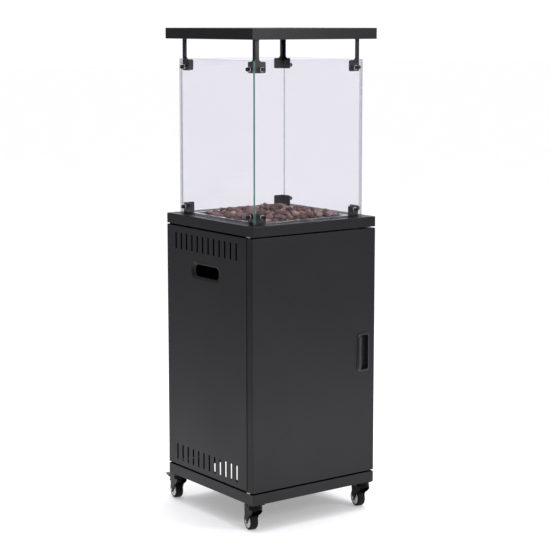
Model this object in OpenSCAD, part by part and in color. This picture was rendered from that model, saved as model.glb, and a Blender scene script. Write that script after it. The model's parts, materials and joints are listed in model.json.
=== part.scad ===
// Free-standing gas patio heater: a square cabinet on four castors, a lava rock
// tray in its deck, and a canopy that four posts carry above a box of clear glass.
// Millimetres. The origin is on the floor under the middle of the cabinet.
// +X is the right side, -Y is the front (the door), +Z is up.

/* [Overall] */
// Side of the square footprint, deck and canopy
width = 420; // [400:5:440]
// Height of the top of the canopy above the floor
total_height = 1360; // [1330:5:1400]
// Height of the top of the deck above the floor
deck_height = 840; // [830:5:850]
// Height of the lower edge of the base above the floor
base_height = 80; // [78:1:82]

/* [Sheet metal] */
// Thickness of the cabinet panels
sheet = 1.2; // [1:0.1:1.5]
// Thickness of the base, deck and canopy
tray_sheet = 1.5; // [1.2:0.1:2]
// Depth of the turned-down edge of the base and of the canopy
skirt = 30; // [26:1:34]
// Depth of the turned-down edge of the deck
deck_skirt = 28; // [24:1:32]
// Shadow gap above and below the cabinet
shadow_gap = 4; // [3:0.5:5]
// Width of the turned-in edges of the panels
flange = 18; // [16:1:20]
// Radius of the upright corners of the base, deck and canopy
corner_r = 1.6; // [1:0.1:3]
// Diameter of the round opening in the base
base_hole_d = 334; // [240:2:344]

/* [Door] */
// Depth of the box-shaped door
door_depth = 25.5; // [24:0.5:27]
// Gap between the door and the side panels
door_gap = 3.5; // [3.5:0.1:4]
// Width of the flush pull
pull_w = 42; // [38:1:46]
// Height of the flush pull
pull_h = 108; // [100:1:116]
// Distance from the edge of the door to the pull
pull_inset = 20; // [18:1:24]
// Height of the middle of the pull above the floor
pull_z = 459; // [430:1:480]

/* [Vents and hand holes] */
// Number of vent slots in each row
slot_count = 12; // [8:1:12]
// Distance between vent slots
slot_pitch = 27; // [24:0.5:27]
// Width of a vent slot
slot_w = 6; // [4:0.5:8]
// Length of a vent slot
slot_h = 47; // [40:1:50]
// Height of the middle of the upper slots
slot_top_z = 766; // [760:1:768]
// Height of the middle of the lower slots
slot_low_z = 153; // [150:1:158]
// Width of a hand hole
hand_w = 113; // [100:1:120]
// Height of a hand hole
hand_h = 33; // [30:1:38]
// Depth of the dished rim around a hand hole
hand_dish = 6; // [4:0.5:8]
// Height of the middle of the hand holes
hand_z = 692; // [680:1:695]

/* [Glass] */
// Distance from the edge of the deck to the outer face of the glass
glass_inset = 27.5; // [26:0.5:30]
// Thickness of the glass
glass_t = 6; // [5:0.5:6]
// Height of the top of the glass above the floor
glass_top = 1275; // [1270:1:1280]
// Length of each leg of a glass clamp
clamp_leg = 34; // [32:1:36]
// Height of a glass clamp
clamp_h = 30; // [28:1:32]
// Width of each leg of a post
post_leg = 12.5; // [11:0.5:14]
// Thickness of the posts and clamps
bracket_t = 3; // [2.5:0.5:3]

/* [Fire tray] */
// Side of the square opening in the deck
opening_w = 304; // [300:2:304]
// Depth of the rock tray
tray_depth = 50; // [48:1:52]
// Height of the top of the rock bed above the deck
rock_rise = 30; // [20:1:32]

/* [Castors] */
// Distance from the edge of the base to a swivel axis
castor_inset = 22; // [21:0.5:26]
// Diameter of a castor wheel
wheel_d = 50; // [48:1:50]
// Width of a castor wheel
wheel_w = 23; // [18:0.5:23]
// Distance from the swivel axis to the axle
castor_trail = 25; // [22:1:26]
// Direction in which the wheels trail, from +X
castor_heading = 80; // [60:1:120]

/* [Hidden] */

$fn = 64;
body_black = [0.16, 0.16, 0.17];
half = width / 2;
cut = 1;                                   // how far a cutter passes a face
fit = 0.05;                                // radial clearance of a running fit

base_top = base_height + skirt;
cabinet_low = base_top + shadow_gap;
deck_low = deck_height - deck_skirt;
cabinet_high = deck_low - shadow_gap;
canopy_low = total_height - skirt;

door_back = -half + door_depth;            // y of the back of the door
panel_front = door_back + door_gap;        // y of the front edge of the side panels
panel_mid = (panel_front + half) / 2;
panel_depth = half - panel_front;
rear_half = half - flange - 1;             // half the width of the rear panel

upright_inset = 8;
upright_leg = 25;
upright_t = 2;

hinge_x = -half + 5;
hinge_y = door_back - 4;
hinge_r = 2;
pivot_t = 2;                               // thickness of the pivot brackets

glass_out = half - glass_inset;
glass_in = glass_out - glass_t;
pad_t = 1;
clamp_out = glass_in - pad_t;
clamp_top_z = glass_top - 3;
screw_from_corner = 17;                    // clamp corner to clamp screw
screw_r = 2.5;
screw_head_r = 5.5;
screw_head_l = 8;
washer_r = 7;
washer_t = 1.5;
screw_low_z = deck_height + 20;
screw_high_z = clamp_top_z - 20;

burner_z = deck_height - 12;
burner_r = 85;
burner_tube_r = 9;
tray_floor = deck_height - tray_depth;

control_y = -150;                          // back face of the control panel
control_z = 758;
igniter_x = 50;
stem_r = 4;
plunger_r = 8;
knob_r = 20;
inlet_r = 6.6;

corners = [[-1, -1], [1, -1], [-1, 1], [1, 1]];
fl = [-1, -1];
fr = [1, -1];
rl = [-1, 1];
rr = [1, 1];

// ---------- shared shapes ----------

// Rectangle with rounded corners, centred
module round_rect(w, d, r) {
    square([w - 2 * r, d], center = true);
    square([w, d - 2 * r], center = true);
    for (c = corners)
        translate([c[0] * (w / 2 - r), c[1] * (d / 2 - r)]) circle(r);
}

// Shallow square tray, open below, with its top at z = 0
module turned_down_tray(w, depth, t) {
    difference() {
        translate([0, 0, -depth]) linear_extrude(depth) round_rect(w, w, corner_r);
        translate([0, 0, -depth - cut])
            linear_extrude(depth + cut - t) round_rect(w - 2 * t, w - 2 * t, 0.4);
    }
}

// Upright slot through a wall whose normal is X
module slot_cutter(w, h, depth) {
    rotate([90, 0, 90]) linear_extrude(depth, center = true) round_rect(w, h, w / 2 - 0.01);
}

// Places a shape at one corner, turned so that its legs run along the two sides
module at_corner(c, r) {
    translate([c[0] * r, c[1] * r, 0])
        mirror([c[0] > 0 ? 1 : 0, 0, 0]) mirror([0, c[1] > 0 ? 1 : 0, 0]) children();
}

// ---------- base and cabinet ----------

gusset_w = 44;                             // side of a castor gusset
gusset_t = 3;

// Base tray with the castor gussets welded into its corners
module base_pan() {
    color(body_black) {
        difference() {
            translate([0, 0, base_top]) turned_down_tray(width, skirt, tray_sheet);
            translate([0, 0, base_top - tray_sheet - cut])
                cylinder(h = tray_sheet + 2 * cut, d = base_hole_d, $fn = 128);
        }
        for (c = corners) at_corner(c, half - tray_sheet) difference() {
            translate([-0.1, -0.1, base_height]) cube([gusset_w, gusset_w, gusset_t]);
            translate([castor_inset - tray_sheet, castor_inset - tray_sheet, base_height - cut])
                cylinder(h = gusset_t + 2 * cut, r = kingpin_r + 0.5);
        }
    }
}

module uprights() {
    color(body_black) for (c = corners) {
        y_out = c[1] < 0 ? panel_front + sheet : half - tray_sheet;
        translate([c[0] * (half - upright_inset), y_out, base_top])
            mirror([c[0] > 0 ? 1 : 0, 0, 0]) mirror([0, c[1] > 0 ? 1 : 0, 0]) {
                cube([upright_t, upright_leg, deck_height - tray_sheet - base_top]);
                cube([upright_leg, upright_t, deck_height - tray_sheet - base_top]);
            }
    }
}

dish_w = 146;
dish_h = 49;
dish_r = 23;

// Outline of the dished rim at its mouth and at its bottom, in the panel's plane
module dish_mouth() { round_rect(dish_w, dish_h, dish_r); }
module dish_floor(grow) { round_rect(hand_w + 2 * grow, hand_h + 2 * grow, 13 + grow); }

// Side panel in its own frame: outer face at x = 0, inside towards +X, middle at y = 0
module side_panel() {
    tall = cabinet_high - cabinet_low;
    strip = panel_depth - 2 * (upright_leg + 12);
    mid_z = (cabinet_high + cabinet_low) / 2;
    difference() {
        union() {
            translate([0, -panel_depth / 2, cabinet_low]) cube([sheet, panel_depth, tall]);
            for (s = [-1, 1]) {
                translate([0, s * (panel_depth - sheet) / 2 - sheet / 2, cabinet_low])
                    cube([flange, sheet, tall]);
                translate([0, -strip / 2, mid_z + s * (tall - sheet) / 2 - sheet / 2])
                    cube([flange, strip, sheet]);
            }
        }
        for (i = [0 : slot_count - 1], z = [slot_low_z, slot_top_z])
            translate([0, (i - (slot_count - 1) / 2) * slot_pitch, z])
                slot_cutter(slot_w, slot_h, 4 * sheet);
        translate([0, 0, hand_z]) rotate([90, 0, 90])
            linear_extrude(4 * sheet, center = true) dish_mouth();
    }
    hand_rim();
}

// Dished rim pressed into a side panel around its hand hole
module hand_rim() {
    translate([0, 0, hand_z]) rotate([90, 0, 90]) difference() {
        hull() {
            linear_extrude(0.1, $fn = 32) dish_mouth();
            translate([0, 0, hand_dish]) linear_extrude(sheet, $fn = 32) dish_floor(sheet);
        }
        hull() {
            translate([0, 0, -0.2]) linear_extrude(0.1, $fn = 32)
                round_rect(dish_w - 2 * sheet, dish_h - 2 * sheet, dish_r - sheet);
            translate([0, 0, hand_dish + 0.01]) linear_extrude(sheet, $fn = 32) dish_floor(0);
        }
        linear_extrude(3 * hand_dish, $fn = 32) dish_floor(0);
    }
}

module left_panel() {
    color(body_black) translate([-half, panel_mid, 0]) side_panel();
}

module right_panel() {
    color(body_black) translate([half, panel_mid, 0]) mirror([1, 0, 0]) side_panel();
}

// Heights and sides at which the rear panel is screwed to the uprights
screw_rows = [cabinet_low + 30, (cabinet_low + cabinet_high) / 2, cabinet_high - 30];
rear_screw_x = rear_half - 6;

rear_low = base_top + 0.3;                 // the rear panel reaches down to the base

module rear_panel() {
    color(body_black) difference() {
        translate([-rear_half, half - sheet, rear_low])
            cube([2 * rear_half, sheet, cabinet_high - rear_low]);
        for (x = [-rear_screw_x, rear_screw_x], z = screw_rows)
            translate([x, half + cut, z]) rotate([90, 0, 0]) cylinder(h = sheet + 2 * cut, r = 2.1);
    }
}

module rear_panel_screws() {
    color("dimgray") for (x = [-rear_screw_x, rear_screw_x], z = screw_rows)
        translate([x, half, z]) rotate([-90, 0, 0]) {
            difference() {
                intersection() {
                    cylinder(h = 2.2, r = 4);
                    translate([0, 0, -3.2]) sphere(5.4);
                }
                translate([0, 0, 1.2]) cylinder(h = 2, r = 1.4, $fn = 6);
            }
            translate([0, 0, -sheet]) cylinder(h = sheet + 0.1, r = 2);
        }
}

// ---------- deck and fire tray ----------

module deck() {
    color(body_black) difference() {
        translate([0, 0, deck_height]) turned_down_tray(width, deck_skirt, tray_sheet);
        translate([-opening_w / 2, -opening_w / 2, deck_height - tray_sheet - cut])
            cube([opening_w, opening_w, tray_sheet + 2 * cut]);
    }
}

tray_w = opening_w - 4;                    // outside of the tray's walls
tray_rim = 9;                              // how far the rim laps over the deck
tray_t = 1;
mixer_r = 12;
mixer_low = tray_floor - 8;                // lower end of the burner's mixing tube

module rock_tray() {
    color("silver") difference() {
        union() {
            translate([0, 0, deck_height]) linear_extrude(tray_t + 0.5)
                round_rect(opening_w + 2 * tray_rim, opening_w + 2 * tray_rim, 3);
            translate([0, 0, tray_floor]) linear_extrude(tray_depth + tray_t)
                round_rect(tray_w, tray_w, 6);
        }
        translate([0, 0, tray_floor + tray_t]) linear_extrude(tray_depth + 5)
            round_rect(tray_w - 2 * tray_t, tray_w - 2 * tray_t, 5);
        translate([0, 0, tray_floor - cut]) cylinder(h = 5, r = mixer_r + 0.5);
    }
}

rock_floor = burner_z + burner_tube_r + 1;
rock_w = tray_w - 2 * tray_t - 4;
rock_dome = 900;                           // radius of the rock bed's domed top

module lava_rocks() {
    color("rosybrown") intersection() {
        translate([0, 0, rock_floor]) linear_extrude(100) round_rect(rock_w, rock_w, 40);
        translate([0, 0, deck_height + rock_rise - rock_dome]) sphere(rock_dome, $fn = 256);
    }
}

module burner() {
    color("darkgray") translate([0, 0, burner_z]) {
        difference() {
            union() {
                rotate_extrude() translate([burner_r, 0]) circle(burner_tube_r);
                for (a = [0, 90]) rotate([0, 90, a])
                    cylinder(h = 2 * burner_r, r = burner_tube_r - 2, center = true);
                cylinder(h = 8, r = 16);
            }
            for (a = [15 : 30 : 345]) rotate(a) translate([burner_r, 0, 0])
                cylinder(h = 20, r = 1.5);
        }
        translate([0, 0, mixer_low - burner_z]) cylinder(h = burner_z - mixer_low, r = mixer_r);
    }
}

shield_half = 138;
shield_z = tray_floor - 16;

module heat_shield() {
    color("gainsboro") {
        difference() {
            translate([-shield_half, -shield_half, shield_z])
                cube([2 * shield_half, 2 * shield_half, tray_t]);
            translate([0, 0, shield_z - cut]) cylinder(h = 4, r = mixer_r + 6);
        }
        for (c = corners) translate([c[0] * (shield_half - 15), c[1] * (shield_half - 15), shield_z])
            cylinder(h = tray_floor - shield_z, r = 4);
    }
}

// Spark electrode and flame sensor on their common bracket, beside the burner
module pilot_probes() {
    color("gray") translate([0, -burner_r - 26, tray_floor + tray_t]) {
        translate([-20, -6, 0]) cube([40, 12, 2]);
        for (x = [-10, 10]) translate([x, 0, 2]) {
            cylinder(h = 16, r = 3.5);
            cylinder(h = 27, r = 1.6);
        }
    }
}

// ---------- glass, clamps, posts and canopy ----------

// Pane standing in the XZ plane, centred, with a hole near each corner
module pane(w) {
    screw_x = clamp_out - screw_from_corner;
    difference() {
        translate([-w / 2, 0, deck_height]) cube([w, glass_t, glass_top - deck_height]);
        for (x = [-screw_x, screw_x], z = [screw_low_z, screw_high_z])
            translate([x, -cut, z]) rotate([-90, 0, 0]) cylinder(h = glass_t + 2 * cut, r = 4);
    }
}

side_pane_w = 2 * glass_in - 1;

module glass_front() {
    color([0.9, 0.95, 0.95, 0.3]) translate([0, -glass_out, 0]) pane(2 * glass_out);
}

module glass_rear() {
    color([0.9, 0.95, 0.95, 0.3]) translate([0, glass_in, 0]) pane(2 * glass_out);
}

module glass_left() {
    color([0.9, 0.95, 0.95, 0.3]) translate([-glass_in, 0, 0]) rotate(90) pane(side_pane_w);
}

module glass_right() {
    color([0.9, 0.95, 0.95, 0.3]) translate([glass_in, 0, 0]) rotate(-90) pane(side_pane_w);
}

// One leg of a clamp plate with its rounded free end, along +X from the corner
module clamp_leg_plate(h) {
    difference() {
        translate([0, bracket_t, 0]) rotate([90, 0, 0]) linear_extrude(bracket_t) {
            square([clamp_leg - 4, h]);
            translate([0, 4]) square([clamp_leg, h - 8]);
            for (z = [4, h - 4]) translate([clamp_leg - 4, z]) circle(4);
        }
        translate([screw_from_corner, -cut, 0]) children();
    }
}

// L-shaped clamp plate: both legs, with a threaded hole in each at height hole_z
module clamp_plate(h, hole_z) {
    clamp_leg_plate(h) translate([0, 0, hole_z]) rotate([-90, 0, 0])
        cylinder(h = bracket_t + 2 * cut, r = screw_r + fit);
    mirror([1, -1, 0]) clamp_leg_plate(h) translate([0, 0, hole_z]) rotate([-90, 0, 0])
        cylinder(h = bracket_t + 2 * cut, r = screw_r + fit);
}

module lower_clamps() {
    color(body_black) for (c = corners) at_corner(c, clamp_out) {
        translate([0, 0, deck_height]) clamp_plate(clamp_h, screw_low_z - deck_height);
        translate([bracket_t, bracket_t, deck_height]) linear_extrude(bracket_t)
            polygon([[0, 0], [clamp_leg - 12, 0], [0, clamp_leg - 12]]);
    }
}

flare = 9;                                 // size of the curved flare at each end of a post

// Flat pattern of one leg of a post: a strip that flares in a curve at both ends
module post_leg_plate(low, high) {
    translate([0, bracket_t, 0]) rotate([90, 0, 0]) linear_extrude(bracket_t) {
        translate([0, low]) square([post_leg, high - low]);
        difference() {
            translate([0, low]) square([post_leg + flare, flare]);
            translate([post_leg + flare, low + flare]) circle(flare);
        }
        difference() {
            translate([0, high - flare]) square([post_leg + flare, flare]);
            translate([post_leg + flare, high - flare]) circle(flare);
        }
    }
}

// Post and upper clamp in one piece: a folded L with a foot that holds the glass
module post(c) {
    top = total_height - tray_sheet;
    color(body_black) at_corner(c, clamp_out) {
        translate([0, 0, clamp_top_z - clamp_h])
            clamp_plate(clamp_h, screw_high_z - clamp_top_z + clamp_h);
        post_leg_plate(clamp_top_z, canopy_low + flare / 2);
        mirror([1, -1, 0]) post_leg_plate(clamp_top_z, canopy_low + flare / 2);
        translate([0, 0, canopy_low]) cube([clamp_leg, bracket_t, top - canopy_low]);
        translate([0, 0, canopy_low]) cube([bracket_t, clamp_leg, top - canopy_low]);
        translate([0, 0, top - bracket_t]) cube([clamp_leg, clamp_leg, bracket_t]);
    }
}

// Runs its children once for each of the sixteen clamp screws: z = 0 is the outer
// face of the glass and +Z points outwards
module at_clamp_screws() {
    s = clamp_out - screw_from_corner;
    for (c = corners, z = [screw_low_z, screw_high_z]) {
        translate([c[0] * s, c[1] * glass_out, z]) rotate([c[1] < 0 ? 90 : -90, 0, 0]) children();
        translate([c[0] * glass_out, c[1] * s, z]) rotate([0, c[0] < 0 ? -90 : 90, 0]) children();
    }
}

module clamp_pads() {
    color("dimgray") at_clamp_screws() translate([0, 0, -glass_t - pad_t]) difference() {
        cylinder(h = pad_t, r = 8);
        translate([0, 0, -cut]) cylinder(h = pad_t + 2 * cut, r = screw_r + 0.5);
    }
}

module clamp_washers() {
    color("lightgray") at_clamp_screws() difference() {
        cylinder(h = washer_t, r = washer_r);
        translate([0, 0, -cut]) cylinder(h = washer_t + 2 * cut, r = screw_r + 0.4);
    }
}

module clamp_screws() {
    reach = glass_t + pad_t + bracket_t + 1;
    color([0.06, 0.06, 0.06]) at_clamp_screws() {
        translate([0, 0, -reach]) cylinder(h = reach + washer_t + 0.5, r = screw_r);
        translate([0, 0, washer_t]) difference() {
            union() {
                cylinder(h = screw_head_l - 1, r = screw_head_r);
                cylinder(h = screw_head_l, r = screw_head_r - 1);
                translate([0, 0, screw_head_l - 1]) rotate_extrude()
                    translate([screw_head_r - 1, 0]) circle(1);
            }
            translate([0, 0, screw_head_l - 4]) cylinder(h = 5, r = 2.9, $fn = 6);
        }
    }
}

module post_fl() { post(fl); }
module post_fr() { post(fr); }
module post_rl() { post(rl); }
module post_rr() { post(rr); }

module canopy() {
    color(body_black) translate([0, 0, total_height]) turned_down_tray(width, skirt, tray_sheet);
}

// Rivets between the posts' top plates and the canopy, under the canopy
module canopy_rivets() {
    z = total_height - tray_sheet - bracket_t;
    color("dimgray") for (c = corners) at_corner(c, clamp_out)
        for (p = [[12, 24], [24, 12]]) translate([p[0], p[1], z - 2]) {
            cylinder(h = 2, r = 3.2);
            translate([0, 0, -1]) cylinder(h = 1.2, r = 1.6);
        }
}

// ---------- gas controls ----------

control_half = 80;
control_low = 712;

module control_panel() {
    color(body_black) difference() {
        translate([0, control_y, 0]) {
            translate([-control_half, -tray_sheet, control_low])
                cube([2 * control_half, tray_sheet, deck_height - tray_sheet - control_low]);
            translate([-control_half, -tray_sheet, control_low])
                cube([2 * control_half, 10, tray_sheet]);
        }
        translate([0, control_y + cut, control_z]) rotate([90, 0, 0]) cylinder(h = 5, r = 6);
        translate([igniter_x, control_y + cut, control_z]) rotate([90, 0, 0])
            cylinder(h = 5, r = 9);
    }
}

// Frame of the gas valve: z = 0 is the back face of the control panel, +Z points rearwards
module at_valve() { translate([0, control_y, control_z]) rotate([-90, 0, 0]) children(); }

module gas_valve() {
    color("darkkhaki") at_valve() {
        difference() {
            union() {
                cylinder(h = valve_len - 8, r = 13);
                translate([-17, -10, 0]) cube([34, 20, 4]);
                translate([0, 0, 22]) rotate([-90, 0, 0]) cylinder(h = 24, r = 7);
            }
            translate([0, 0, -cut]) cylinder(h = 14 + cut, r = plunger_r + fit);
            cylinder(h = 28, r = stem_r + 1);
        }
        translate([0, 0, valve_len - 8]) cylinder(h = 8, r = 6);
    }
}

// Sprung collar that the knob's stem turns in and pushes back
module valve_plunger() {
    color("silver") at_valve() translate([0, 0, 2]) difference() {
        cylinder(h = 7, r = plunger_r);
        translate([0, 0, -cut]) cylinder(h = 7 + 2 * cut, r = stem_r + fit);
    }
}

module control_knob() {
    color([0.08, 0.08, 0.08]) at_valve() {
        translate([0, 0, -28]) difference() {
            union() {
                cylinder(h = 10, r = knob_r - 3);
                translate([0, 0, 10]) cylinder(h = 12, r = knob_r);
                intersection() {
                    translate([-4.5, -knob_r, -2]) cube([9, 2 * knob_r, 14]);
                    translate([0, 0, -2]) cylinder(h = 14, r = knob_r - 3);
                }
            }
            for (a = [0 : 30 : 330]) rotate(a) translate([knob_r + 1.2, 0, 9])
                cylinder(h = 14, r = 2.4);
        }
        translate([0, 0, -8]) cylinder(h = 32, r = stem_r);
    }
}

module at_igniter() {
    translate([igniter_x, control_y, control_z]) rotate([-90, 0, 0]) children();
}

module igniter() {
    color([0.1, 0.1, 0.1]) at_igniter() difference() {
        union() {
            translate([0, 0, -tray_sheet - 2]) cylinder(h = 2, r = 12);
            translate([0, 0, -tray_sheet]) cylinder(h = 36, r = 8.8);
            cylinder(h = 4, r = 11.5, $fn = 6);
            translate([0, 0, 34]) cylinder(h = 8, r = 3);
        }
        translate([0, 0, -tray_sheet - 2 - cut]) cylinder(h = 18, r = 6 + fit);
    }
}

module igniter_button() {
    color("firebrick") at_igniter() translate([0, 0, -9]) {
        cylinder(h = 15, r = 6);
        translate([0, 0, -1]) cylinder(h = 1.5, r = 5);
    }
}

// Threaded spigot below the valve, on which the gas hose's union nut goes
module gas_inlet() {
    color("darkkhaki") translate([0, control_y + 22, control_z - 24]) mirror([0, 0, 1])
        difference() {
            union() {
                cylinder(h = 8, r = 9, $fn = 6);
                cylinder(h = 22, r = inlet_r);
            }
            translate([0, 0, 4]) cylinder(h = 20, r = 3);
        }
}

pipe_r = 4;
pipe_bend = 18;
valve_len = 46;                            // control panel to the outlet of the valve

module gas_pipe() {
    valve_end = control_y + valve_len;
    up_from = control_z + pipe_bend;
    color("silver") {
        translate([0, valve_end, control_z]) rotate([-90, 0, 0])
            cylinder(h = -valve_end - pipe_bend, r = pipe_r);
        translate([0, -pipe_bend, up_from]) rotate([90, 0, -90])
            mirror([1, 0, 0]) rotate([0, 0, -90]) rotate_extrude(angle = 90)
                translate([pipe_bend, 0]) circle(pipe_r);
        translate([0, 0, up_from]) cylinder(h = mixer_low - up_from, r = pipe_r);
    }
}

// ---------- door ----------

pivot_tongue = 12;                         // width of the tongue that carries the pin
pivot_reach = 4.5;                         // how far the tongue reaches past the pin

// Pivot bracket with its pin upwards, welded to the front of an upright: z = 0 is its
// lower face
module pivot_bracket() {
    bracket_w = upright_inset + upright_leg;
    bracket_front = hinge_y - pivot_reach;
    difference() {
        translate([-half + 1, bracket_front, 0])
            cube([bracket_w, panel_front + sheet - bracket_front, pivot_t]);
        translate([-half + 1 + pivot_tongue, bracket_front - cut, -cut])
            cube([bracket_w, door_back - bracket_front + cut, pivot_t + 2 * cut]);
    }
    translate([hinge_x, hinge_y, 0]) cylinder(h = 15, r = hinge_r);
}

module door_pivots() {
    color("dimgray") {
        translate([0, 0, base_top]) pivot_bracket();
        translate([0, 0, deck_low]) mirror([0, 0, 1]) pivot_bracket();
    }
}

module pull_cutout(grow) {
    translate([half - pull_inset - pull_w / 2, 0, pull_z]) rotate([90, 0, 0])
        linear_extrude(60, center = true)
            round_rect(pull_w - 6 + 2 * grow, pull_h - 6 + 2 * grow, 6 + grow);
}

module door_shell() {
    tall = cabinet_high - cabinet_low;
    color(body_black) difference() {
        translate([-half, -half, cabinet_low]) cube([width, door_depth, tall]);
        translate([-half + sheet, -half + sheet, cabinet_low + sheet])
            cube([width - 2 * sheet, door_depth, tall - 2 * sheet]);
        translate([0, -half - 27, 0]) pull_cutout(0);
        translate([hinge_x, hinge_y, cabinet_low - cut])
            cylinder(h = tall + 2 * cut, r = hinge_r + 0.6);
    }
}

module door_liner() {
    gap = sheet + 0.2;
    color(body_black) difference() {
        translate([-half + gap, door_back - sheet, cabinet_low + gap])
            cube([width - 2 * gap, sheet, cabinet_high - cabinet_low - 2 * gap]);
        translate([-half, door_back - 2 * sheet, cabinet_low])
            cube([11, 4 * sheet, 18]);
        translate([-half, door_back - 2 * sheet, cabinet_high - 18])
            cube([11, 4 * sheet, 18]);
    }
}

bush_t = 12;

// Nylon blocks in the door's corners that turn on the pivot pins
module door_bushes() {
    low = cabinet_low + sheet;
    color("whitesmoke") for (s = [0, 1])
        translate([0, 0, s * (cabinet_high + cabinet_low)]) mirror([0, 0, s]) difference() {
            union() {
                translate([-half + sheet, door_back - 9, low]) cube([8, 9, bush_t]);
                translate([hinge_x, hinge_y, base_top + pivot_t + 0.2])
                    cylinder(h = low - base_top - pivot_t, r = hinge_r + 0.55);
            }
            translate([hinge_x, hinge_y, base_top - cut])
                cylinder(h = bush_t + 20, r = hinge_r + fit);
        }
}

pull_lip = 2;                              // how far the pull stands proud of the door
pull_depth = 15;                           // depth of the finger recess
pull_floor = 1.6;

// Flush pull in its own frame: y = 0 is the door's face, -Y is outwards
module flush_pull() {
    recess_w = pull_w - 14;
    difference() {
        union() {
            rotate([90, 0, 0]) linear_extrude(pull_lip) round_rect(pull_w, pull_h, 8);
            translate([0, pull_depth, 0]) rotate([90, 0, 0])
                linear_extrude(pull_depth + 0.1) round_rect(pull_w - 6.4, pull_h - 6.4, 6);
            translate([-pull_w / 2 + 7.5, -pull_lip, 0]) {
                cylinder(h = pull_h - 26, r = 4.5, center = true);
                for (s = [-1, 1]) translate([0, 0, s * (pull_h / 2 - 13)]) sphere(4.5);
            }
        }
        translate([3, pull_depth - pull_floor, 0]) rotate([90, 0, 0])
            linear_extrude(pull_depth + pull_lip + 5) round_rect(recess_w, pull_h - 9, 6);
        translate([-6, pull_depth - pull_floor, 0]) rotate([90, 0, 0])
            linear_extrude(pull_depth - pull_floor - 3) round_rect(recess_w - 8, pull_h - 14, 4);
    }
}

module door_pull() {
    color([0.1, 0.1, 0.1]) translate([half - pull_inset - pull_w / 2, -half, pull_z]) flush_pull();
}

catch_x = half - upright_inset - upright_leg;
catch_z = (cabinet_low + cabinet_high) / 2;

module magnet_catch() {
    color("darkslategray") translate([catch_x - 16, door_back + 1.8, catch_z - 20])
        cube([16, 26, 40]);
}

module strike_plate() {
    color("silver") translate([catch_x - 15, door_back, catch_z - 18]) cube([14, 1.2, 36]);
}

// ---------- castors ----------

kingpin_r = 4;
race_r = 19;
race_low = 64;
race_high = 70;
fork_t = 2.5;
fork_gap = 1.5;                            // between wheel and fork
axle_r = 3;
leg_in = wheel_w / 2 + fork_gap;
leg_top = 72;
wheel_r = wheel_d / 2;
brake_x = 34;
brake_z = 57;
plate_t = 2.5;

// Frame of one castor: the swivel axis is Z, the wheel trails along +X, z = 0 is the floor
module at_castor(c) {
    translate([c[0] * (half - castor_inset), c[1] * (half - castor_inset), 0])
        rotate(castor_heading) children();
}

module castor_plates() {
    color([0.12, 0.12, 0.12]) for (c = corners)
        translate([c[0] * (half - castor_inset), c[1] * (half - castor_inset), 0]) {
            translate([0, 0, base_height - plate_t]) linear_extrude(plate_t)
                round_rect(2 * (castor_inset - 1), 2 * (castor_inset - 1), 5);
            translate([0, 0, race_high + 0.4])
                cylinder(h = base_height - plate_t - race_high - 0.4, r = race_r);
            translate([0, 0, race_low - 6]) cylinder(h = base_height - race_low + 6, r = kingpin_r);
            translate([0, 0, race_low - 8]) cylinder(h = 3, r = kingpin_r + 2);
        }
}

// Side plate of a fork, in the XZ plane
module fork_leg() {
    rotate([90, 0, 0]) linear_extrude(fork_t, center = true) difference() {
        union() {
            polygon([[-14, race_low], [15.5, race_low], [15.5, leg_top], [35, leg_top], [36, leg_top - 6],
                [castor_trail + 8, wheel_r], [castor_trail - 8, wheel_r], [8, 42], [-2, 47], [-14, 57]]);
            translate([castor_trail, wheel_r]) circle(8);
        }
        translate([castor_trail, wheel_r]) circle(axle_r);
    }
}

module fork(c, braked) {
    color([0.12, 0.12, 0.12]) at_castor(c) {
        difference() {
            union() {
                translate([0, 0, race_low]) cylinder(h = race_high - race_low, r = race_r + 1);
                translate([-14, -leg_in - fork_t, race_low - 2]) cube([32, 2 * (leg_in + fork_t), 2]);
            }
            translate([0, 0, race_low - 10]) cylinder(h = 20, r = kingpin_r + fit);
        }
        for (s = [-1, 1]) translate([0, s * (leg_in + fork_t / 2), 0]) fork_leg();
        if (braked) brake_ears();
    }
}

// Ears on the fork that carry the brake's pin
module brake_ears() {
    for (s = [-1, 1]) translate([0, s * (leg_in + fork_t / 2), 0])
        rotate([90, 0, 0]) linear_extrude(fork_t, center = true) {
            translate([brake_x, brake_z]) circle(5);
            polygon([[16, race_low], [brake_x, brake_z + 5], [brake_x, brake_z - 5], [20, 44]]);
        }
    translate([brake_x, 0, brake_z]) rotate([90, 0, 0])
        cylinder(h = 2 * leg_in + 1, r = 2, center = true);
}

module axle(c) {
    reach = leg_in + fork_t;
    color("silver") at_castor(c) translate([castor_trail, 0, wheel_r]) rotate([90, 0, 0]) {
        cylinder(h = 2 * reach, r = axle_r - 0.02, center = true);
        for (s = [0, 1]) mirror([0, 0, s]) translate([0, 0, reach]) {
            cylinder(h = 1.6, r = 4.6);
            cylinder(h = 2.6, r = 3);
        }
    }
}

// Outline of the brake lever from the side, with its hub on the brake's pin at [0, 0]
module brake_outline() {
    circle(4);
    polygon([[-3, 1], [3, -2.5], [9, 2], [30, 6], [31, 9], [6, 7.5], [0, 4]]);
    translate([30.5, 7.5]) circle(1.5);
    polygon([[1, -3.5], [4, 1], [12, -4], [16, -11], [13.5, -12], [8, -6]]);
}

// Foot lever that locks a wheel: it tips down about its pin
module brake_pedal(c) {
    color([0.3, 0.3, 0.31]) at_castor(c) translate([brake_x, 0, brake_z]) rotate([90, 0, 0])
        difference() {
            union() {
                linear_extrude(2 * (leg_in - 0.5), center = true) brake_outline();
                linear_extrude(2 * (leg_in + 4), center = true) intersection() {
                    brake_outline();
                    translate([9, 0]) square([40, 20]);
                }
            }
            cylinder(h = 60, r = 2 + fit, center = true);
        }
}

tyre_t = 6;

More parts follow.
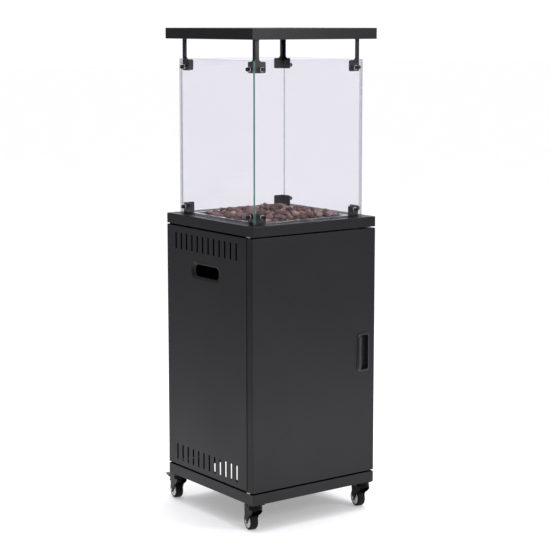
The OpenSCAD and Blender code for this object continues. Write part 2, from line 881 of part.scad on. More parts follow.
// Wheel centre: hub, web and the pale ring beside the tyre
module wheel(c) {
    color("lightgray") at_castor(c) translate([castor_trail, 0, wheel_r]) rotate([90, 0, 0])
        difference() {
            union() {
                cylinder(h = wheel_w + 1.6, r = 6.5, center = true);
                cylinder(h = wheel_w - 1, r = wheel_r - tyre_t, center = true);
            }
            for (s = [0, 1]) mirror([0, 0, s]) translate([0, 0, wheel_w / 2 - 3]) difference() {
                cylinder(h = 4, r = wheel_r - tyre_t - 4.5);
                translate([0, 0, -cut]) cylinder(h = 6, r = 6.5);
            }
            cylinder(h = wheel_w + 4, r = axle_r + fit, center = true);
        }
}

module tyre(c) {
    round = 5;
    color([0.15, 0.15, 0.15]) at_castor(c) translate([castor_trail, 0, wheel_r]) rotate([90, 0, 0])
        rotate_extrude($fn = 96) difference() {
            union() {
                translate([wheel_r - tyre_t, -wheel_w / 2]) square([tyre_t - round, wheel_w]);
                translate([wheel_r - tyre_t, round - wheel_w / 2])
                    square([tyre_t, wheel_w - 2 * round]);
                for (s = [-1, 1]) translate([wheel_r - round, s * (wheel_w / 2 - round)])
                    circle(round);
            }
            translate([0, -wheel_w / 2]) square([wheel_r - tyre_t, wheel_w]);
        }
}

// ---------- drawing ----------

base_pan();
castor_plates();
uprights();
left_panel();
right_panel();
rear_panel();
rear_panel_screws();
deck();
rock_tray();
lava_rocks();
burner();
heat_shield();
pilot_probes();
glass_front();
glass_rear();
glass_left();
glass_right();
lower_clamps();
clamp_pads();
clamp_washers();
clamp_screws();
post_fl();
post_fr();
post_rl();
post_rr();
canopy();
canopy_rivets();
control_panel();
gas_valve();
valve_plunger();
control_knob();
igniter();
igniter_button();
gas_inlet();
gas_pipe();
door_pivots();
magnet_catch();
door_shell();
door_liner();
door_pull();
door_bushes();
strike_plate();
fork(fl, false);  // fork_fl
axle(fl);  // axle_fl
wheel(fl);  // wheel_fl
tyre(fl);  // tyre_fl
fork(fr, false);  // fork_fr
axle(fr);  // axle_fr
wheel(fr);  // wheel_fr
tyre(fr);  // tyre_fr
fork(rl, true);  // fork_rl
axle(rl);  // axle_rl
wheel(rl);  // wheel_rl
tyre(rl);  // tyre_rl
brake_pedal(rl);  // brake_rl
fork(rr, true);  // fork_rr
axle(rr);  // axle_rr
wheel(rr);  // wheel_rr
tyre(rr);  // tyre_rr
brake_pedal(rr);  // brake_rr
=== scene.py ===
"""Looks for the square gas patio heater, around its CAD frame.

Finishes, rounded sheet edges, smooth hand holes, glass and loose lava stones, then the studio.
Metres, in the CAD model's own frame: the origin on the floor, +X right, -Y the door's side, +Z up.
"""
import json
import math
import random

import bmesh
import bpy
import numpy as np
from mathutils import Matrix, Vector, noise


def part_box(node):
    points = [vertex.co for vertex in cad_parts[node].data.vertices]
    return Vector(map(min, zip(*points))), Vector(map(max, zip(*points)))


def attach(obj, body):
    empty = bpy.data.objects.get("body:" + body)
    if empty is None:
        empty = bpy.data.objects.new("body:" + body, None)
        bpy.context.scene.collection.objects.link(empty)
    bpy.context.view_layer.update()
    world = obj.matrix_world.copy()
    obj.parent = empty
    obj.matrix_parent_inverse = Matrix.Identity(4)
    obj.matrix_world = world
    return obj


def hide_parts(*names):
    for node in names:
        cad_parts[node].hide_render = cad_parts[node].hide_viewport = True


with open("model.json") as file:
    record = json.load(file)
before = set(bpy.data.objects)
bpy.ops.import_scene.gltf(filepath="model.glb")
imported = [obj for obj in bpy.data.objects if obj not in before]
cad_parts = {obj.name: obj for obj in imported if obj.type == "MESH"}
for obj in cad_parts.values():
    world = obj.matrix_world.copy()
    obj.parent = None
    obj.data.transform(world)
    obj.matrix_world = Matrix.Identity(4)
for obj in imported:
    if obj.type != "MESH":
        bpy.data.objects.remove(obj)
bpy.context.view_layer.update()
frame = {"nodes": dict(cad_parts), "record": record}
nodes = frame["nodes"]
body_of_node = {n: body for body, names in frame["record"]["behaviour"]["bodies"].items() for n in names}
slot_of_node = {part["node"]: part["material_slot"] for part in frame["record"]["subparts"]}

MM = 0.001
ABOUT_NOTHING = 1e-5

deck_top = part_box("deck")[1].z
rocks_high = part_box("lava_rocks")[1]


# ---------- node trees ----------


class Finish:
    """A material being built: short names for the nodes that the finishes below are made of."""

    def __init__(self, name):
        self.material = bpy.data.materials.new(name)
        self.material.use_nodes = True
        self.tree = self.material.node_tree
        self.tree.nodes.clear()
        self.place = self.node("ShaderNodeTexCoord").outputs["Object"]

    def node(self, kind, links=None, **settings):
        """A node with its settings, and with values or other nodes' outputs on its input sockets."""
        made = self.tree.nodes.new(kind)
        for key, value in settings.items():
            setattr(made, key, value)
        for socket, value in (links or {}).items():
            self.feed(made.inputs[socket], value)
        return made

    def feed(self, socket, value):
        if isinstance(value, bpy.types.NodeSocket):
            self.tree.links.new(value, socket)
        elif isinstance(value, tuple) and socket.type == "RGBA" and len(value) == 3:
            socket.default_value = (*value, 1)
        else:
            socket.default_value = value

    def stretched(self, x, y, z):
        """The place on the object with its axes scaled, for brushed and drawn grain."""
        scale = self.node("ShaderNodeVectorMath", {0: self.place, 1: (x, y, z)}, operation="MULTIPLY")
        return scale.outputs[0]

    def noise(self, scale, detail=2.0, roughness=0.5, place=None, distortion=0.0):
        links = {"Vector": place or self.place, "Scale": scale, "Detail": detail,
                 "Roughness": roughness, "Distortion": distortion}
        return self.node("ShaderNodeTexNoise", links).outputs["Fac"]

    def cells(self, scale):
        return self.node("ShaderNodeTexVoronoi", {"Vector": self.place, "Scale": scale}).outputs["Distance"]

    def span(self, value, low, high, to_low, to_high):
        """value, stretched so that low..high becomes to_low..to_high, and held there."""
        links = {"Value": value, "From Min": low, "From Max": high, "To Min": to_low, "To Max": to_high}
        return self.node("ShaderNodeMapRange", links).outputs[0]

    def math(self, operation, a, b):
        return self.node("ShaderNodeMath", {0: a, 1: b}, operation=operation).outputs[0]

    def ramp(self, value, *stops):
        """Colours by value: stops are (position, colour)."""
        made = self.node("ShaderNodeValToRGB", {"Fac": value})
        ramp = made.color_ramp
        while len(ramp.elements) < len(stops):
            ramp.elements.new(0.5)
        for element, (position, colour) in zip(ramp.elements, stops):
            element.position = position
            element.color = (*colour, 1)
        return made.outputs["Color"]

    def mix(self, share, a, b, blend="MIX"):
        made = self.node("ShaderNodeMix", data_type="RGBA", blend_type=blend)
        for socket, value in ((made.inputs[0], share), (made.inputs[6], a), (made.inputs[7], b)):
            self.feed(socket, value)
        return made.outputs[2]

    def along(self, direction):
        """How far the place lies in a direction."""
        return self.node("ShaderNodeVectorMath", {0: self.place, 1: direction},
                         operation="DOT_PRODUCT").outputs["Value"]

    def bump(self, height, distance, strength, under=None):
        links = {"Height": height, "Distance": distance, "Strength": strength}
        if under:
            links["Normal"] = under
        return self.node("ShaderNodeBump", links).outputs[0]

    def principled(self, **sockets):
        """The surface. Sockets are given as words joined by _, such as Base_Color."""
        links = {name.replace("_", " "): value for name, value in sockets.items()}
        return self.surface(self.node("ShaderNodeBsdfPrincipled", links).outputs[0])

    def surface(self, shader):
        self.node("ShaderNodeOutputMaterial", {"Surface": shader})
        return self.material


# ---------- finishes ----------


def powder_coat(name, tone=0.0075, grain=1500, shine=0.38, gloss=0.27):
    """Satin black powder coat: near black, finely pebbled, with slow drifts in its gloss."""
    m = Finish(name)
    drift = m.noise(4.5, detail=4)
    pebble = m.noise(grain, detail=2, roughness=0.6)
    fleck = m.noise(grain * 0.45, detail=3)
    colour = m.mix(m.span(fleck, 0.35, 0.65, 0, 1),
                   (tone * 0.75, tone * 0.74, tone * 0.86), (tone * 1.35, tone * 1.34, tone * 1.55))
    rough = m.math("ADD", m.span(drift, 0.3, 0.7, shine - 0.04, shine + 0.05),
                   m.span(pebble, 0.3, 0.7, -0.02, 0.02))
    relief = m.bump(pebble, 0.06 * MM, 0.55)
    relief = m.bump(m.noise(170, detail=2), 0.05 * MM, 0.35, under=relief)
    return m.principled(Base_Color=colour, Roughness=rough, Specular_IOR_Level=gloss, Normal=relief)


def brushed_steel():
    """Stainless steel brushed along the tray's sides, with faint straw-warm smudges."""
    m = Finish("brushed_stainless")
    long_grain = m.noise(900, detail=3, place=m.stretched(0.02, 1, 0.3))
    cross_grain = m.noise(260, detail=2, place=m.stretched(0.05, 1, 1))
    smudge = m.noise(16, detail=3)
    colour = m.mix(m.span(smudge, 0.35, 0.7, 0, 1), (0.62, 0.62, 0.63), (0.74, 0.73, 0.71))
    rough = m.math("ADD", m.span(long_grain, 0.3, 0.7, 0.14, 0.26), m.span(smudge, 0.4, 0.7, 0, 0.06))
    relief = m.bump(long_grain, 0.02 * MM, 0.5)
    relief = m.bump(cross_grain, 0.03 * MM, 0.3, under=relief)
    return m.principled(Base_Color=colour, Metallic=1.0, Roughness=rough, Normal=relief)


def heat_tinted_steel():
    """Burner tube: steel gone straw, brown and blue with heat, in wavering bands."""
    m = Finish("heat_tinted_steel")
    bands = m.noise(24, detail=4, distortion=0.6)
    tint = m.ramp(bands, (0.30, (0.42, 0.40, 0.38)), (0.45, (0.46, 0.33, 0.18)),
                  (0.58, (0.30, 0.17, 0.14)), (0.72, (0.16, 0.18, 0.26)))
    soot = m.noise(90, detail=5)
    rough = m.span(soot, 0.3, 0.7, 0.32, 0.58)
    return m.principled(Base_Color=tint, Metallic=0.95, Roughness=rough, Normal=m.bump(soot, 0.05 * MM, 0.4))


def galvanised():
    """Zinc-coated sheet with its pale spangle."""
    m = Finish("galvanised_sheet")
    spangle = m.cells(110)
    colour = m.ramp(spangle, (0.0, (0.40, 0.42, 0.44)), (0.5, (0.52, 0.54, 0.56)), (1.0, (0.62, 0.64, 0.65)))
    rough = m.span(spangle, 0.0, 0.9, 0.30, 0.52)
    relief = m.bump(m.noise(700), 0.03 * MM, 0.4)
    return m.principled(Base_Color=colour, Metallic=0.9, Roughness=rough, Normal=relief)


def plated(name, colour, rough):
    """Zinc plate, brass or drawn aluminium: faint clouding and fine turning marks."""
    m = Finish(name)
    cloud = m.noise(60, detail=4)
    marks = m.noise(2200, detail=2, place=m.stretched(1, 1, 0.15))
    darker = tuple(c * 0.78 for c in colour)
    tone = m.mix(m.span(cloud, 0.35, 0.7, 0, 1), colour, darker)
    roughness = m.span(cloud, 0.3, 0.7, rough - 0.06, rough + 0.1)
    relief = m.bump(marks, 0.02 * MM, 0.4)
    return m.principled(Base_Color=tone, Metallic=1.0, Roughness=roughness, Normal=relief)


def black_oxide():
    """Blackened socket screws: a dark skin rubbed to bare steel here and there."""
    m = Finish("black_oxide")
    rubbed = m.noise(420, detail=5, roughness=0.6)
    colour = m.ramp(rubbed, (0.45, (0.012, 0.012, 0.013)), (0.72, (0.045, 0.044, 0.042)))
    rough = m.span(rubbed, 0.3, 0.7, 0.24, 0.40)
    relief = m.bump(rubbed, 0.03 * MM, 0.4)
    return m.principled(Base_Color=colour, Metallic=0.35, Roughness=rough, Normal=relief)


def moulded(name, colour, rough, grain=900, relief_depth=0.05, variation=0.15):
    """Moulded plastic with a fine spark-eroded grain and slight flow marks."""
    m = Finish(name)
    spark = m.noise(grain, detail=3, roughness=0.6)
    flow = m.noise(18, detail=3, distortion=0.8)
    low = tuple(c * (1 - variation) for c in colour)
    high = tuple(c * (1 + variation) for c in colour)
    tone = m.mix(m.span(flow, 0.3, 0.7, 0, 1), low, high)
    roughness = m.span(spark, 0.3, 0.7, rough - 0.05, rough + 0.07)
    relief = m.bump(spark, relief_depth * MM, 0.5)
    return m.principled(Base_Color=tone, Roughness=roughness, Normal=relief)


def tyre_rubber():
    """Dark grey tread rubber, dusty in patches, with a fine moulded grain."""
    m = Finish("tyre_rubber")
    dust = m.noise(75, detail=5, roughness=0.65)
    grain = m.noise(1300, detail=2)
    colour = m.mix(m.span(dust, 0.48, 0.75, 0, 1), (0.006, 0.006, 0.0065), (0.018, 0.0175, 0.017))
    rough = m.span(dust, 0.3, 0.7, 0.42, 0.62)
    relief = m.bump(grain, 0.08 * MM, 0.5)
    return m.principled(Base_Color=colour, Roughness=rough, Normal=relief, Specular_IOR_Level=0.12)


def clear_glass():
    """Clear tempered glass. A ray passes straight through, with a faint grey-blue tint at each face."""
    m = Finish("clear_glass")
    facing = m.node("ShaderNodeLayerWeight", {"Blend": 0.5}).outputs["Facing"]
    grazing = m.math("POWER", facing, 5.0)
    smear = m.noise(9, detail=4, distortion=1.2)
    mirror = m.math("ADD", m.span(grazing, 0, 1, 0.030, 0.9), m.span(smear, 0.45, 0.8, 0, 0.006))
    through = m.node("ShaderNodeBsdfTransparent", {"Color": (0.962, 0.960, 0.972)})
    gloss = m.node("ShaderNodeBsdfAnisotropic", {"Color": (1, 1, 1), "Roughness": 0.02})
    both = m.node("ShaderNodeMixShader", {0: mirror, 1: through.outputs[0], 2: gloss.outputs[0]})
    return m.surface(both.outputs[0])


def glass_edge(name, outside, inside, outside_share, inside_share):
    """Ground edge of a pane.

    outside is the colour on its outer side, inside the one seen through the pane, each as a pair
    from its deeper to its paler stretches: the light and shade that a ground edge gathers, painted into its
    colour. The shares say how solid the two look.
    """
    m = Finish(name)
    along = m.noise(28, detail=3, place=m.stretched(1, 1, 0.12))
    fine = m.noise(650, detail=2, place=m.stretched(1, 1, 0.2))
    within = m.node("ShaderNodeNewGeometry").outputs["Backfacing"]
    colours = [m.ramp(along, *zip((0.30, 0.70), pair)) for pair in (outside, inside)]
    through = m.node("ShaderNodeBsdfTransparent", {"Color": (0.90, 0.93, 0.93)})
    links = {"Base Color": m.mix(within, *colours), "Roughness": m.span(fine, 0.3, 0.7, 0.12, 0.30),
             "Normal": m.bump(fine, 0.03 * MM, 0.4)}
    solid = m.node("ShaderNodeBsdfPrincipled", links)
    share = m.span(within, 0, 1, outside_share, inside_share)
    both = m.node("ShaderNodeMixShader", {0: share, 1: through.outputs[0], 2: solid.outputs[0]})
    return m.surface(both.outputs[0])


def lava_stone(name, dark, light, vein):
    """Matt open-pored lava: mottled between two tones, with painted shade in its pores and paler, rustier
    veins.
    """
    m = Finish(name)
    own = m.node("ShaderNodeAttribute", attribute_name="stone").outputs["Fac"]
    mottle = m.noise(95, detail=6, roughness=0.68)
    patch = m.noise(34, detail=3, distortion=0.8)
    tone = m.mix(m.span(mottle, 0.34, 0.68, 0, 1), dark, light)
    tone = m.mix(m.span(patch, 0.50, 0.72, 0, 0.7), tone, vein)
    pores = m.cells(430)
    small_pores = m.cells(950)
    depth = m.math("MINIMUM", m.span(pores, 0.10, 0.42, 0, 1), m.span(small_pores, 0.12, 0.45, 0.25, 1))
    # painted shade in the pores, darker the deeper they go
    tone = m.mix(m.span(depth, 0, 0.8, 0.75, 0), tone, (dark[0] * 0.25, dark[1] * 0.22, dark[2] * 0.22))
    shade = m.span(own, 0, 1, 0.75, 1.75)
    grey = m.node("ShaderNodeCombineColor", {0: shade, 1: shade, 2: shade}).outputs[0]
    tone = m.mix(1.0, tone, grey, "MULTIPLY")
    relief = m.bump(depth, 0.9 * MM, 0.85)
    relief = m.bump(mottle, 0.8 * MM, 0.6, under=relief)
    return m.principled(Base_Color=tone, Roughness=m.span(mottle, 0.3, 0.7, 0.82, 0.97),
                        Specular_IOR_Level=0.25, Normal=relief)


PHOTO_RIGHT, PHOTO_AWAY = (0.807, -0.590, 0), (0.590, 0.807, 0)   # across the photo and into it
WHITE_ZONE, GREY_ZONE = 0.90, 3.0                                 # painted shade: the floor darkens from one to the other, a painted pool of light round the heater
RIGHT_WIDENS, LEFT_WIDENS, LEFT_STRETCH = 0.17, 0.25, 1.3         # the white zone's sides, going away
# the floor's own pale tones, and the grey of its painted shade further off
FLOOR_WHITE, FLOOR_PAINTED_SHADE = ((0.74, 0.74, 0.74), (0.76, 0.76, 0.76)), (0.35, 0.35, 0.355)
FLOOR_PAINTED_GLOW, GLOW_ZONE = (2.8, 2.8, 2.9), (0.42, 0.85)             # painted glow: the floor before the door glows brighter, from 0.42 m on and fully from 0.85 m


def studio_floor():
    """Pale floor lit from within, a painted glow.

    The camera sees it white all over. What the heater mirrors of it is white near it and behind it, and
    greyer
    further off on the other sides: painted shade, a painted pool of light round the heater. A painted glow
    brightens the floor before the door.
    """
    m = Finish("studio_floor")
    across = m.along(PHOTO_RIGHT)
    behind = m.along(PHOTO_AWAY)
    right = m.math("SUBTRACT", across, m.math("MULTIPLY", behind, RIGHT_WIDENS))
    left = m.math("SUBTRACT", m.math("MULTIPLY", across, -LEFT_STRETCH),
                  m.math("MULTIPLY", behind, LEFT_WIDENS))
    sideways = m.math("MAXIMUM", right, left)
    in_front = m.math("MULTIPLY", behind, -1.0)
    away = m.math("MAXIMUM", sideways, in_front)
    mirrored = m.math("SUBTRACT", 1.0, m.node("ShaderNodeLightPath").outputs["Is Camera Ray"])
    # painted shade on the floor further off, only in what the heater mirrors
    shade = m.math("MULTIPLY", m.span(away, WHITE_ZONE, GREY_ZONE, 0.0, 1.0), mirrored)
    mottle = m.noise(3, detail=3)
    white = m.mix(m.span(mottle, 0.3, 0.7, 0, 1), *FLOOR_WHITE)
    colour = m.mix(shade, white, FLOOR_PAINTED_SHADE)
    ahead = m.math("MULTIPLY", m.node("ShaderNodeSeparateXYZ", {0: m.place}).outputs["Y"], -1.0)
    # painted glow on the floor before the door
    glow = m.mix(m.span(ahead, *GLOW_ZONE, 0.0, 1.0), colour, FLOOR_PAINTED_GLOW)
    return m.principled(Base_Color=colour, Roughness=0.9, Specular_IOR_Level=0.1,
                        Emission_Color=m.mix(shade, glow, colour), Emission_Strength=0.42)


coat = powder_coat("satin_black_powder_coat")
bracket_coat = powder_coat("bracket_powder_coat", tone=0.0060, grain=1100, shine=0.30, gloss=0.40)
castor_paint = powder_coat("castor_paint", tone=0.0012, grain=800, shine=0.16, gloss=0.09)
# painted shade: a darker, matt copy of the coat for the cabinet's inside and the walls of its openings
inside_shade_coat = powder_coat("inside_coat_painted_shade", tone=0.0022, shine=0.75, gloss=0.03)
# painted shade: a darker copy of the coat for the door's side returns
door_side_shade_coat = powder_coat("door_side_painted_shade_coat", tone=0.0050, shine=0.42, gloss=0.22)
stainless = brushed_steel()
burner_steel = heat_tinted_steel()
zinc_sheet = galvanised()
zinc_plate = plated("zinc_plate", (0.55, 0.55, 0.54), 0.32)
brass = plated("machined_brass", (0.60, 0.42, 0.18), 0.28)
aluminium = plated("drawn_aluminium", (0.66, 0.67, 0.68), 0.34)
screw_black = black_oxide()
washer_grey = moulded("washer_fibre", (0.50, 0.50, 0.50), 0.45, grain=600)
pad_rubber = moulded("silicone_pad", (0.045, 0.045, 0.047), 0.6)
plastic_black = moulded("black_plastic", (0.010, 0.010, 0.011), 0.34)
plastic_red = moulded("red_plastic", (0.36, 0.016, 0.014), 0.25, relief_depth=0.02)
nylon = moulded("natural_nylon", (0.66, 0.65, 0.60), 0.45)
lever_plastic = moulded("lever_plastic", (0.075, 0.075, 0.078), 0.45)
hub_plastic = moulded("hub_plastic", (0.74, 0.75, 0.76), 0.32, variation=0.05)
magnet_case = moulded("magnet_case", (0.020, 0.020, 0.022), 0.5)
rubber = tyre_rubber()
glass = clear_glass()
# Painted light and shade of the glass edges: lit and shaded copies of one ground edge, green or grey by pane
SHADED_LINE = ((0.05, 0.055, 0.055), (0.11, 0.12, 0.12))
LIT_LINE = ((0.34, 0.36, 0.36), (0.50, 0.53, 0.53))
SHADED_GREEN = ((0.02, 0.11, 0.09), (0.08, 0.24, 0.20))
LIT_GREEN = ((0.20, 0.42, 0.37), (0.42, 0.66, 0.60))
green_edge_painted_shade = glass_edge("glass_edge_green_painted_shade", SHADED_GREEN, SHADED_LINE, 0.85, 0.50)
green_edge_painted_light = glass_edge("glass_edge_green_painted_light", LIT_GREEN, SHADED_LINE, 0.75, 0.50)
grey_edge_painted_shade = glass_edge("glass_edge_grey_painted_shade", SHADED_LINE, LIT_LINE, 0.32, 0.22)

FINISH_OF_SLOT = {
    "powder_coat": coat, "bracket_coat": bracket_coat, "stainless": stainless, "glass": glass,
    "burner_steel": burner_steel, "galvanised": zinc_sheet, "black_oxide": screw_black,
    "pad_rubber": pad_rubber, "washer_nylon": washer_grey, "zinc_fastener": zinc_plate, "brass": brass,
    "copper_pipe": aluminium, "black_plastic": plastic_black, "button_red": plastic_red,
    "nylon_white": nylon, "magnet": magnet_case, "castor_steel": castor_paint, "castor_hub": hub_plastic,
    "castor_tyre": rubber, "brake_lever": lever_plastic,
}


# ---------- pieces made from CAD nodes ----------

SHARP, SMOOTH = math.radians(35), math.radians(50)     # edges that are rounded, edges that shade as smooth
FLAT = math.radians(1)
WELD, FOLD_REACH = 0.002 * MM, 2.2 * MM                # doubled vertices, a fold's distance from its plane

# The dished hand hole of the side panels, in mm: width, height and corner radius of its mouth and its hole
DISH_MOUTH, DISH_HOLE = (146, 49, 23), (113, 33, 13)
MOUTH_INSET, MOUTH_SLACK = 0.5, 0.05                   # smooth mouth inside the CAD's, search round it
DISH_DEPTH, DISH_SHEET, DISH_CENTRE = 6, 1.2, (14.5, 692)
DISH_STEPS, DISH_POINTS = 12, 24                       # rings down its slope, points round each corner

# The part of a side panel that holds its openings, in mm, and the rounding of its punched slots
CUTS_HALF, CUTS_LOW, CUTS_HIGH, SLOT_EDGE = 165, 128, 795, 0.55

# Nodes with painted shade inside, a darker matt copy of the coat, and the way those faces look. None: all
# faces.
SHADED_INSIDE = {
    "base_pan": (0, 0, 1), "left_panel": (1, 0, 0), "right_panel": (-1, 0, 0), "rear_panel": (0, -1, 0),
    "uprights": None, "door_shell": (0, 1, 0),
}
INNER_HALF = -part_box("left_panel")[0].x - 0.8 * MM
INNER_HIGH = deck_top

# Folded sheets: the (axis, side) that each is open to, the rounding of its edges in mm, and for a panel
# with a hand hole the way its dish goes in along X
FOLD_RADIUS = 1.6
BELOW, LEFT, RIGHT, REAR = (2, 0), (0, 0), (0, 1), (1, 1)
FOLDED = {
    "base_pan": (BELOW, 0.3, 0), "deck": (BELOW, 0.3, 0), "canopy": (BELOW, 0.3, 0),
    "left_panel": (RIGHT, 0.12, 1), "right_panel": (LEFT, 0.12, -1), "door_shell": (REAR, 0.3, 0),
}
EDGE_RADIUS = {
    "uprights": 0.4, "rear_panel": 0.3, "rock_tray": 0.25, "heat_shield": 0.25, "control_panel": 0.4,
    "door_liner": 0.3, "door_pull": 0.8, "lower_clamps": 0.5, "castor_plates": 0.4, "magnet_catch": 1.0,
    "strike_plate": 0.25, "gas_valve": 0.6, "control_knob": 0.7, "igniter": 0.4, "clamp_screws": 0.35,
    "clamp_washers": 0.35,
}
LET_DOWN = {"rear_panel": 0.28}                        # mm: closes its gap to the base for light


def is_sharp(edge):
    return len(edge.link_faces) == 2 and edge.calc_face_angle(0) > SHARP


def is_fold(edge, low, high, open_side):
    """True if a sheet is folded along this edge: it lies in an outer plane of the node, beside another one.

    open_side is (axis, side) of the plane that the folded edges stop at, which has no fold.
    """
    limits = {(axis, side): (low, high)[side][axis] for axis in range(3) for side in (0, 1)}
    if all(abs(v.co[open_side[0]] - limits[open_side]) < ABOUT_NOTHING for v in edge.verts):
        return False
    for (axis, side), limit in limits.items():
        if (axis, side) == open_side or any(abs(v.co[axis] - limit) > ABOUT_NOTHING for v in edge.verts):
            continue
        others = [(a, l) for (a, s), l in limits.items() if a != axis and (a, s) != open_side]
        if all(any(abs(v.co[a] - l) < FOLD_REACH for a, l in others) for v in edge.verts):
            return True
    return False


def is_in_dish(place):
    return (abs(place.y - DISH_CENTRE[0] * MM) < (DISH_MOUTH[0] / 2 + 1) * MM
            and abs(place.z - DISH_CENTRE[1] * MM) < (DISH_MOUTH[1] / 2 + 1) * MM)


def is_cut(place):
    """True round the openings in a side panel: well away from the panel's own four edges."""
    return abs(place.y - DISH_CENTRE[0] * MM) < CUTS_HALF * MM and CUTS_LOW * MM < place.z < CUTS_HIGH * MM


def is_cut_wall(face):
    """True for the walls of a side panel's openings. The dish's own slope isn't one."""
    return is_cut(face.center) and abs(face.normal.x) < (0.3 if is_in_dish(face.center) else 0.97)


def piece_from(name, mesh, materials, body, slot, *stands_for):
    """A new piece in place of CAD nodes, riding on a body."""
    piece = bpy.data.objects.new(name, mesh)
    bpy.context.scene.collection.objects.link(piece)
    mesh.materials.clear()
    for material in materials:
        mesh.materials.append(material)
    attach(piece, body)
    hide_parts(*stands_for)
    return piece


def smooth(piece):
    """Rounds the shading over the small edge faces and keeps large faces flat."""
    for face in piece.data.polygons:
        face.use_smooth = True
    piece.data.set_sharp_from_angle(angle=SMOOTH)
    normals = piece.modifiers.new("flat_faces", "WEIGHTED_NORMAL")
    normals.keep_sharp = True


def paint(piece, material, chosen):
    """Gives a piece's chosen faces a finish of their own."""
    piece.data.materials.append(material)
    slot = len(piece.data.materials) - 1
    for face in piece.data.polygons:
        if chosen(face):
            face.material_index = slot


def paint_inside_shade(piece, inward, has_cuts):
    """Painted shade, a darker matt copy of the coat, on the faces that look into the cabinet and on the cut
    edges of a panel's openings.
    """
    def is_inner(face):
        x, y, z = face.center
        looks_in = inward is None or face.normal.dot(Vector(inward)) > 0.2
        return looks_in and max(abs(x), abs(y)) < INNER_HALF and z < INNER_HIGH

    paint(piece, inside_shade_coat, lambda face: is_inner(face) or (has_cuts and is_cut_wall(face)))


def bevel(bm, edges, radius, segments=2, clamp=False):
    bmesh.ops.bevel(bm, geom=edges, offset=radius * MM, segments=segments, profile=0.5, affect="EDGES",
                    clamp_overlap=clamp)


def merge_flat(bm):
    """Joins the triangles of each flat face."""
    bmesh.ops.dissolve_limit(bm, angle_limit=FLAT, verts=bm.verts, edges=bm.edges)


def rounded_outline(width, height, radius):
    """(y, z) round a rectangle with rounded corners."""
    outline = []
    for corner, (side_y, side_z) in enumerate(((1, 1), (-1, 1), (-1, -1), (1, -1))):
        for step in range(DISH_POINTS):
            turn = (corner + step / (DISH_POINTS - 1)) * math.pi / 2
            outline.append((side_y * (width / 2 - radius) + radius * math.cos(turn),
                            side_z * (height / 2 - radius) + radius * math.sin(turn)))
    return outline


def loops_at(edges, x):
    return [e for e in edges if all(abs(v.co.x - x) < ABOUT_NOTHING for v in e.verts)]


def smooth_dish(bm, outer, inward):
    """Takes out a side panel's faceted dish and draws a smooth one from its mouth down to the hand hole."""
    middle_y, middle_z = (c * MM for c in DISH_CENTRE)
    reach_y, reach_z = (DISH_MOUTH[0] / 2 + MOUTH_SLACK) * MM, (DISH_MOUTH[1] / 2 + MOUTH_SLACK) * MM
    inside = [f for f in bm.faces
              if all(abs(v.co.y - middle_y) < reach_y and abs(v.co.z - middle_z) < reach_z for v in f.verts)]
    bmesh.ops.delete(bm, geom=inside, context="FACES")
    merge_flat(bm)
    open_edges = [e for e in bm.edges if len(e.link_faces) == 1]
    width, height, radius = DISH_MOUTH
    mouth = rounded_outline(width - 2 * MOUTH_INSET, height - 2 * MOUTH_INSET, radius - MOUTH_INSET)
    hole = rounded_outline(*DISH_HOLE)

    def rings(sheet):
        """The outline at each step down the slope, sheet below the outer face."""
        found = []
        for step in range(DISH_STEPS + 1):
            share = step / DISH_STEPS
            depth = DISH_DEPTH * share * share * (3 - 2 * share) + sheet
            found.append([bm.verts.new((outer + inward * depth * MM,
                                        middle_y + (a[0] + (b[0] - a[0]) * share) * MM,
                                        middle_z + (a[1] + (b[1] - a[1]) * share) * MM))
                          for a, b in zip(mouth, hole)])
        return found

    upper, lower = rings(0), rings(DISH_SHEET)
    chain = upper + lower[::-1]
    for one, two in zip(chain, chain[1:]):
        for k in range(len(one)):
            after = (k + 1) % len(one)
            bm.faces.new((one[k], one[after], two[after], two[k]))
    for ring, x in ((upper[0], outer), (lower[0], outer + inward * DISH_SHEET * MM)):
        ring_edges = [bm.edges.get((ring[k], ring[k - 1])) for k in range(len(ring))]
        gap = ring_edges + loops_at(open_edges, x)
        bmesh.ops.triangle_fill(bm, use_beauty=True, edges=gap, normal=(1, 0, 0))
    bmesh.ops.recalc_face_normals(bm, faces=bm.faces)


def softened(node, radius, open_side=None, dish=0, material=None):
    """Stands for a CAD node with its edges rounded by radius in mm.

    With an open_side it is a folded sheet, and its folds are rounder. dish is the way that a hand hole's
    dish goes in along X, or 0.
    """
    bm = bmesh.new()
    bm.from_mesh(nodes[node].data)
    bmesh.ops.remove_doubles(bm, verts=bm.verts, dist=WELD)
    low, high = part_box(node)
    drop = LET_DOWN.get(node, 0.0) * MM
    for vert in bm.verts:
        if vert.co.z < low.z + ABOUT_NOTHING:
            vert.co.z -= drop
    if dish:
        smooth_dish(bm, low.x if dish > 0 else high.x, dish)
    else:
        merge_flat(bm)
    if open_side:
        folds = [e for e in bm.edges if is_sharp(e) and is_fold(e, low, high, open_side)]
        bevel(bm, folds, FOLD_RADIUS, segments=4)
    if dish:
        slots = [e for e in bm.edges
                 if is_sharp(e) and all(is_cut(v.co) and not is_in_dish(v.co) for v in e.verts)]
        bevel(bm, slots, SLOT_EDGE)
    bevel(bm, [e for e in bm.edges if is_sharp(e)], radius, clamp=True)
    for vert in bm.verts:
        vert.co = [min(max(place, least - drop), most) for place, least, most in zip(vert.co, low, high)]
    mesh = bpy.data.meshes.new(node + "_soft")
    bm.to_mesh(mesh)
    bm.free()
    finish = material or FINISH_OF_SLOT[slot_of_node[node]]
    piece = piece_from(node + "_soft", mesh, [finish], body_of_node[node], slot_of_node[node], node)
    smooth(piece)
    # painted shade inside the cabinet and on the walls of its openings
    if node in SHADED_INSIDE:
        paint_inside_shade(piece, SHADED_INSIDE[node], has_cuts=bool(dish))
    if dish:
        for face in piece.data.polygons:
            face.use_smooth = abs(face.normal.x) < 0.9999
    return piece


